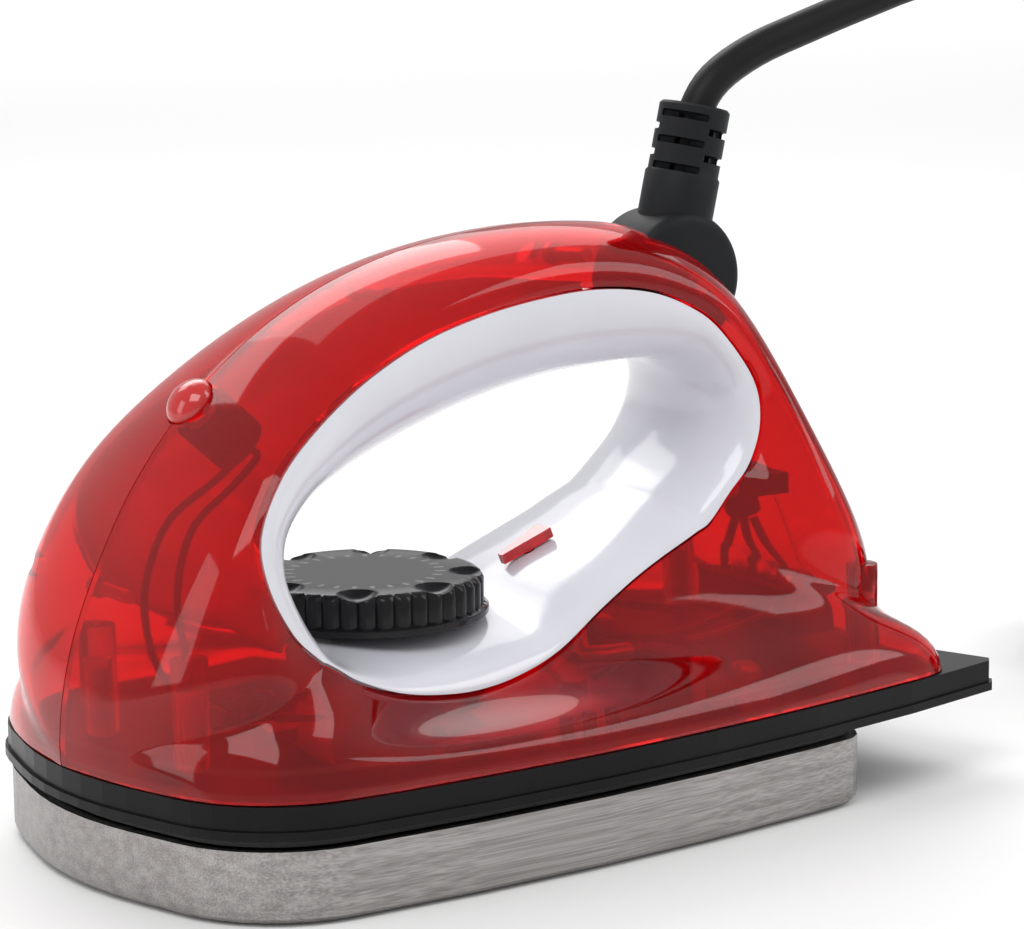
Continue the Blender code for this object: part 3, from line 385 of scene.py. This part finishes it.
def planLine():
    plan = housing["plan"]
    points = [(0.0, 0.0)]
    heading = 90.0

    def walk(length, turn, steps):
        nonlocal heading
        for i in range(steps):
            angle = math.radians(heading - turn * (i + 0.5) / steps)
            x, y = points[-1]
            points.append((x + length / steps * math.cos(angle),
                           y + length / steps * math.sin(angle)))
        heading -= turn

    walk(plan["noseRadius"] * math.radians(plan["noseTurn"]), plan["noseTurn"], 3)
    walk(plan["noseFlat"], 0, 1)
    shoulder = heading - plan["sideAngle"]
    walk(plan["shoulderRadius"] * math.radians(shoulder), shoulder, 8)
    rest = (plan["length"] - points[-1][0]) / math.cos(math.radians(plan["sideAngle"] / 2))
    walk(rest, math.degrees(rest / plan["sideRadius"]), 6)
    return points


def halfWidth(x, line=planLine()):
    for (x0, y0), (x1, y1) in zip(line, line[1:]):
        if x0 <= x <= x1:
            return y0 + (y1 - y0) * (x - x0) / (x1 - x0)
    return line[-1][1]


def allRibs():
    rows = []
    last = len(housing["spine"]) - 1
    for i, (x, z, bulge, flare, rimX, rimY, rimZ) in enumerate(housing["spine"]):
        lift = {0: 10, last: 12}.get(i, 0)
        rows.append((x, 0, z, 0, -bulge, lift, flare, rimX, -rimY, rimZ))
    last = len(housing["skirt"]) - 1
    leans = {0: -14, 1: -5, last - 1: -2, last: -8}
    for i, (x, y, rise, flare, rimX, rimY, rimZ) in enumerate(housing["skirt"]):
        side = halfWidth(x) - 0.4 if y is None else y
        rows.append((x, -side, 21, 0, leans.get(i, 0), rise, flare, rimX, -rimY, rimZ))
    return rows


def shellRows():
    fine = throughPoints(allRibs(), housing["stepsPerRib"], closed=True)
    spineEnd = (len(housing["spine"]) - 1) * housing["stepsPerRib"]
    rims = [Vector((row[7], row[9])) for row in fine]
    rows = []
    for i, row in enumerate(fine):
        onFoot = i > spineEnd
        outer = Vector((row[0], row[1] if onFoot else -housing["halfGap"], row[2]))
        if i in (0, spineEnd) or onFoot:
            outer.z = housing["foot"]
        along = (rims[(i + 1) % len(rims)] - rims[i - 1]).normalized()
        rim = Vector(row[7:10]) + Vector((-along.y, 0, along.x)) * housing["rimStep"]
        first = outer + Vector(row[3:6])
        second = rim + Vector(((outer.x - rim.x) / 2, -row[6], (outer.z - rim.z) / 2))
        line = []
        for k in range(housing["ribSteps"] + 1):
            t = k / housing["ribSteps"]
            line.append(outer * (1 - t) ** 3 + first * (3 * t * (1 - t) ** 2)
                        + second * (3 * t * t * (1 - t)) + rim * t ** 3)
        rows.append(line)
    # creases between ribs are eased out, while the outline and the rim stay put
    last = housing["ribSteps"]
    for turn in range(housing["easing"]):
        eased = []
        for i, line in enumerate(rows):
            before, after = rows[i - 1], rows[(i + 1) % len(rows)]
            eased.append([point + ((before[k] + after[k]) / 2 - point)
                          * math.sin(math.pi * k / last) for k, point in enumerate(line)])
        rows = eased
    return rows


def linerRows():
    fine = throughPoints(allRibs(), housing["stepsPerRib"], closed=True)
    waist = throughPoints(housing["waist"], housing["stepsPerRib"], closed=True)
    rows = []
    for row, (x, z) in zip(fine, waist):
        line = []
        for k in range(housing["linerSteps"] + 1):
            angle = math.pi * (k / housing["linerSteps"] - 0.5)
            drop = 1 - math.cos(angle)
            line.append(Vector((x + (row[7] - x) * drop, -row[8] * math.sin(angle),
                                z + (row[9] - z) * drop)))
        rows.append(line)
    return rows


def innerRows(rows, wall):
    # the rows moved inwards by the wall, kept flat along the seam, the foot and the rims
    count = len(rows)
    moved = []
    for i, line in enumerate(rows):
        inner = []
        for k, point in enumerate(line):
            around = rows[(i + 1) % count][k] - rows[i - 1][k]
            across = line[min(k + 1, len(line) - 1)] - line[max(k - 1, 0)]
            normal = across.cross(around)
            onSeam = k == 0 and point.y > -2 * housing["halfGap"]
            onFoot = k == 0 and point.z < housing["foot"] + 0.01
            if onSeam:
                normal.y = 0
            if onFoot:
                normal.z = 0
            if k in (0, len(line) - 1) and not onSeam and not onFoot:
                normal = Vector((0, normal.y, 0))
            inner.append(point - normal.normalized() * wall)
        moved.append(inner)
    return moved


def walledPiece(name, outer, wall, side=1):
    # outer and inner face as one closed loop of points across each row
    inner = innerRows(outer, wall)
    loops = []
    for front, back in zip(outer, inner):
        loop = front + back[::-1] + [front[0]]
        loops.append([spot(p.x, p.y * side, p.z) for p in loop])
    piece = gridPiece(name, loops)
    bpy.ops.object.mode_set(mode="EDIT")
    bpy.ops.mesh.select_all(action="SELECT")
    bpy.ops.mesh.normals_make_consistent(inside=False)
    bpy.ops.object.mode_set(mode="OBJECT")
    return piece


drum = {"x": 132.2, "z": 95.6, "radius": 12.8, "halfWidth": 8.0, "pin": 1.8}
lamp = {"x": 27.0, "z": 82.7, "tilt": 47.8, "radius": 4.7}
posts = [(17, -16), (17, 16), (158, -28), (158, 28)]
seams = [(66, 97.8, 12.5), (110, 102, 12.5), (12.5, 50, 29.5)]


def lampSpot(height):
    lean = math.radians(lamp["tilt"])
    return spot(lamp["x"] - height * math.sin(lean), 0, lamp["z"] + height * math.cos(lean))


def makeShell(name, side):
    rows = shellRows()
    piece = walledPiece(name + "_fine", rows, housing["wall"], side)
    carve(piece, addCylinder("slot", spot(drum["x"], -drum["halfWidth"] - 0.4, drum["z"]),
                             spot(drum["x"], drum["halfWidth"] + 0.4, drum["z"]),
                             drum["radius"] + 0.5, 64))
    carve(piece, addCylinder("lensHole", lampSpot(-5), lampSpot(6), lamp["radius"] + 0.3, 48))
    if side < 0:
        for x, z, reach in seams:
            carve(piece, addCylinder("headHole", spot(x, 5, z), spot(x, reach + 9, z), 2.4, 24))
    smoothEdges(piece, 45)
    dress(piece, "shell")
    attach(piece, "housing")
    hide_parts(name)
    for i, (x, y) in enumerate(post for post in posts if post[1] * side < 0):
        post = addCylinder(f"{name}_post_{i}", spot(x, y, 21.3), spot(x, y, 41), 3.2, 24)
        carve(post, addCylinder("bore", spot(x, y, 20), spot(x, y, 35), 1.8, 20))
        useModifier(post, "BEVEL", width=0.3 * mm, segments=2, limit_method="ANGLE")
        smoothEdges(post)
        dress(post, "shell")
        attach(post, "housing")
    return piece


makeShell("left_shell", 1)
makeShell("right_shell", -1)
print("housing moulded")

liner = walledPiece("liner_fine", linerRows(), housing["linerWall"])
knob = {"x": 63.1, "base": 39.9, "height": 7.4, "skirt": 22.7, "grip": 21.8, "ribs": 40,
        "dimples": 8, "phase": -126.6, "hub": 5.6}
carve(liner, addCylinder("hubHole", spot(knob["x"], 0, 30), spot(knob["x"], 0, 44),
                         knob["hub"] + 0.8, 48))
slope = math.radians(23)
pegTop = Vector((99.1, 0, 47.7))
pegEnd = pegTop + Vector((math.sin(slope), 0, -math.cos(slope))) * 5.5
carve(liner, addCylinder("pegHole", spot(*pegTop), spot(*pegEnd), 1.5, 20))
smoothEdges(liner, 50)
dress(liner, "white")
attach(liner, "housing")
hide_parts("grip_liner")
print("liner moulded")

# ---- knob: a turned body whose edge is pressed into ribs, then scalloped
def turnedPiece(name, profile, centre, sides):
    rows = []
    for i in range(sides):
        angle = math.tau * i / sides
        rows.append([centre + Vector((r * math.cos(angle), r * math.sin(angle), z)) * mm
                     for r, z in profile])
    return gridPiece(name, rows)


sides = knob["ribs"] * 6
top = knob["height"]
body = [(0, top), (12, top), (19.8, top), (20.8, top - 0.25), (21.5, top - 0.8),
        (knob["grip"], top - 1.5), (knob["grip"], 1.6), (knob["grip"] + 0.3, 1.3),
        (knob["skirt"] - 0.2, 1.2), (knob["skirt"], 1.0), (knob["skirt"], 0.1),
        (knob["skirt"] - 0.1, 0), (knob["hub"], 0), (knob["hub"], -5.2), (3.3, -5.2), (3.3, 5.4),
        (0, 5.4)]
dial = turnedPiece("knob_fine", body, spot(knob["x"], 0, knob["base"]), sides)
middle = spot(knob["x"], 0, knob["base"])
for vert in dial.data.vertices:
    out = vert.co - middle
    reach = math.hypot(out.x, out.y)
    if reach > 21.4 * mm and 1.4 * mm < out.z < (top - 0.6) * mm:
        turn = math.atan2(out.y, out.x) * knob["ribs"] / math.tau
        dent = max(0, math.cos(math.tau * turn)) ** 1.5 * 0.75 * mm
        vert.co = middle + Vector((out.x * (1 - dent / reach), out.y * (1 - dent / reach), out.z))
bpy.ops.object.mode_set(mode="EDIT")
bpy.ops.mesh.select_all(action="SELECT")
bpy.ops.mesh.normals_make_consistent(inside=False)
bpy.ops.object.mode_set(mode="OBJECT")
for i in range(knob["dimples"]):
    angle = math.radians(knob["phase"] + 360 * i / knob["dimples"])
    dropSelection()
    bpy.ops.mesh.primitive_uv_sphere_add(
        segments=40, ring_count=24, radius=5.2 * mm,
        location=spot(knob["x"] + 19 * math.cos(angle), 19 * math.sin(angle),
                      knob["base"] + top + 3.6))
    carve(dial, settle(fresh("scallop")))
smoothEdges(dial, 32)
dress(dial, "knob")
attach(dial, "knob")
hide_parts("thermostat_knob")
print("knob turned")

# ---- drum and slotted sleeve of the cord outlet
sleeve = {"tilt": 13.5, "radius": 6.8, "bore": 4.4, "mouth": 33.0, "floor": 17.0, "rows": 5}
profile = [(0, sleeve["floor"]), (sleeve["bore"], sleeve["floor"]),
           (sleeve["bore"], sleeve["mouth"] - 0.4), (sleeve["bore"] + 0.4, sleeve["mouth"]),
           (sleeve["radius"] - 0.5, sleeve["mouth"]), (sleeve["radius"], sleeve["mouth"] - 0.5),
           (sleeve["radius"], 20), (sleeve["radius"] + 0.4, 19.4), (sleeve["radius"] + 0.4, 8),
           (0, 8)]
outlet = turnedPiece("sleeve_fine", profile, Vector((0, 0, 0)), 64)
bpy.ops.object.mode_set(mode="EDIT")
bpy.ops.mesh.select_all(action="SELECT")
bpy.ops.mesh.normals_make_consistent(inside=False)
bpy.ops.object.mode_set(mode="OBJECT")
for row in range(sleeve["rows"]):
    for half in (0, 1):
        turn = math.radians(90 * (row % 2) + 180 * half + 35)
        centre = Vector((6.1 * math.cos(turn), 6.1 * math.sin(turn), 20.6 + 2.5 * row)) * mm
        dropSelection()
        bpy.ops.mesh.primitive_cube_add(size=1, location=centre, rotation=(0, 0, turn))
        notch = fresh("notch")
        notch.scale = (4 * mm, 9.4 * mm, 1.4 * mm)
        settle(notch)
        useModifier(notch, "BEVEL", width=0.4 * mm, segments=3)
        carve(outlet, notch)
pivot = spot(drum["x"], 0, drum["z"])
outlet.rotation_euler = (0, math.radians(sleeve["tilt"]), 0)
outlet.location = pivot
settle(outlet)
barrel = addCylinder("drum", spot(drum["x"], -drum["halfWidth"], drum["z"]),
                     spot(drum["x"], drum["halfWidth"], drum["z"]), drum["radius"], 72)
useModifier(barrel, "BEVEL", width=2.2 * mm, segments=5, limit_method="ANGLE")
carve(outlet, barrel, "UNION")
carve(outlet, addCylinder("pinHole", spot(drum["x"], -20, drum["z"]),
                          spot(drum["x"], 20, drum["z"]), drum["pin"] + 0.3, 32))
smoothEdges(outlet, 35)
dress(outlet, "rubber")
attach(outlet, "swivel")
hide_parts("bend_sleeve")
print("cord outlet moulded")

# ---- lens of the signal lamp
lensProfile = [(0, 2.4), (1.3, 2.28), (2.5, 1.9), (3.4, 1.38), (4.0, 0.9), (4.4, 0.45),
               (lamp["radius"], 0), (lamp["radius"], -1.2), (3.6, -1.2), (3.6, -6), (0, -6)]
lens = turnedPiece("lens_fine", lensProfile, Vector((0, 0, 0)), 56)
bpy.ops.object.mode_set(mode="EDIT")
bpy.ops.mesh.select_all(action="SELECT")
bpy.ops.mesh.normals_make_consistent(inside=False)
bpy.ops.object.mode_set(mode="OBJECT")
lens.rotation_euler = (0, math.radians(-lamp["tilt"]), 0)
lens.location = lampSpot(0)
settle(lens)
smoothEdges(lens, 35)
dress(lens, "trim")
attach(lens, "housing")
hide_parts("lamp_lens")

# ---- mains cord: out of the sleeve, over the heel, down into its coil, and on to the plug
cord = {
    "radius": 3.4,
    "route": [
        (136.3, 0, 112.6), (138.1, 0, 120), (140.2, 0, 127), (144.8, 0, 132.6), (154, 0, 137.4),
        (166, -0.5, 141.3), (180, -1.5, 145.5), (195, -3, 149.5), (212, -6, 151),
        (230, -10, 145), (244, -15, 130), (250.5, -20, 108), (253, -24, 82), (253, -27, 56),
        (252, -26, 36), (251.5, -19, 24), (251.4, -10, 18.6), (252, -2, 17.95)],
    "coil": (289.0, -8.0),
    # turn in degrees from where the cord comes in, radius, height
    "turns": [
        (0, 37.5, 17.95), (40, 44.5, 17), (90, 44.5, 10), (140, 44.5, 3.45), (400, 44.5, 3.45),
        (460, 37.5, 3.45), (760, 37.5, 3.45), (820, 30.5, 3.45), (1100, 30.5, 3.45),
        (1180, 30.5, 10.5), (1480, 30.5, 10.5), (1540, 37.5, 10.5), (1850, 37.5, 10.5),
        (1901, 37.5, 17.95)],
    "start": 171.0,
    "leadEnd": -80.0,
    "plug": (294.4, 25.6),
}


def coilSpot(turn, radius, height):
    angle = math.radians(cord["start"] - turn)
    x, y = cord["coil"]
    return x + radius * math.cos(angle), y + radius * math.sin(angle), height


def cordPath():
    line = throughPoints(cord["route"], 4)[:-1]
    for (turnA, radiusA, heightA), (turnB, radiusB, heightB) in zip(cord["turns"],
                                                                    cord["turns"][1:]):
        steps = max(4, round((turnB - turnA) / 10))
        for step in range(steps):
            t = step / steps
            ease = t * t * (3 - 2 * t)
            line.append(coilSpot(turnA + (turnB - turnA) * t, radiusA + (radiusB - radiusA) * ease,
                                 heightA + (heightB - heightA) * ease))
    turn = cord["turns"][-1][0]
    turnEnd = cord["start"] - cord["leadEnd"] + 1800 - 360
    while turnEnd < turn:
        turnEnd += 360
    steps = round((turnEnd - turn) / 10)
    low = cord["turns"][-1][2]
    for step in range(steps + 1):
        t = step / steps
        line.append(coilSpot(turn + (turnEnd - turn) * t, 37.5,
                             low + (cord["plug"][1] - low) * t * t * (3 - 2 * t)))
    return [spot(*point) for point in line]


path = cordPath()
dropSelection()
bpy.ops.curve.primitive_nurbs_path_add()
flex = fresh("mains_flex")
flex.location = (0, 0, 0)
flex.data.splines.clear()
spline = flex.data.splines.new("POLY")
spline.points.add(len(path) - 1)
for point, place in zip(spline.points, path):
    point.co = (*place, 1)
flex.data.dimensions = "3D"
flex.data.bevel_depth = cord["radius"] * mm
flex.data.bevel_resolution = 4
flex.data.use_fill_caps = True
pick(flex)
bpy.ops.object.convert(target="MESH")
bpy.ops.object.shade_smooth_by_angle(angle=math.radians(40))
dress(flex, "cord")
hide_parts("mains_cord", "cord_coil", "plug_lead")
spot(195, -3, 149.5)
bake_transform(flex)
print("cord laid")

# ---- floor, light and camera
ground = Paint("pale floor")
haze = ground.grain(0.6)
ground.put(Base_Color=ground.mixed(haze, (0.9, 0.9, 0.9, 1), (0.92, 0.92, 0.92, 1)),
           Roughness=haze * 0.1 + 0.6)
dropSelection()
bpy.ops.mesh.primitive_plane_add(size=12, location=(0, 0, -0.0003))
floor = settle(fresh("floor"))
floor.data.materials.append(ground.material)
floor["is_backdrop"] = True

softboxes = [
    # place, size, power, colour, what it points at
    ((-0.5, -0.35, 0.95), (0.7, 0.5), 4, (1, 1, 1), (0, 0, 0.05)),
    ((0.75, -0.5, 0.7), (0.35, 0.8), 2.5, (1, 1, 1), (0, 0, 0.05)),
    ((0.1, 0.8, 0.8), (0.9, 0.4), 3, (1, 1, 1), (0, 0, 0.05)),
    ((-0.9, 0.2, 0.35), (0.3, 0.6), 1.2, (1, 1, 1), (0, 0, 0.05)),
    ((1.6, 2.6, 2.0), (3.4, 3.4), 45, (1, 1, 1), (1.6, 2.6, 0)),  # whitens the far floor
]
for place, size, power, tint, target in softboxes:
    bpy.ops.object.light_add(type="AREA", location=place)
    light = bpy.context.object
    light.data.shape = "RECTANGLE"
    light.data.size, light.data.size_y = size
    light.data.energy = power
    light.data.color = tint
    light.rotation_euler = (Vector(target) - Vector(place)).to_track_quat("-Z", "Y").to_euler()

world = bpy.data.worlds.new("studio")
world.use_nodes = True
sky = world.node_tree.nodes["Background"]
sky.inputs["Color"].default_value = (1, 1, 1, 1)
sky.inputs["Strength"].default_value = 0.6
bpy.context.scene.world = world

view = {"place": (-0.3692, -0.5339, 0.1842), "target": (0.0053, 0, 0.0632), "roll": -0.66,
        "lens": 124.8}
bpy.ops.object.camera_add(location=view["place"])
camera = bpy.context.object
aim = (Vector(view["target"]) - Vector(view["place"])).to_track_quat("-Z", "Y").to_matrix()
camera.rotation_euler = (aim @ Matrix.Rotation(math.radians(view["roll"]), 3, "Z")).to_euler()
camera.data.lens = view["lens"]
camera.data.sensor_width = 36
camera.data.clip_start = 0.01
bpy.context.scene.camera = camera
bpy.context.scene.view_settings.view_transform = "Standard"
print("stage set")

size = {"cad": [list(corner) for corner in cadBox],
        "visual": [list(corner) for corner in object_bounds()]}
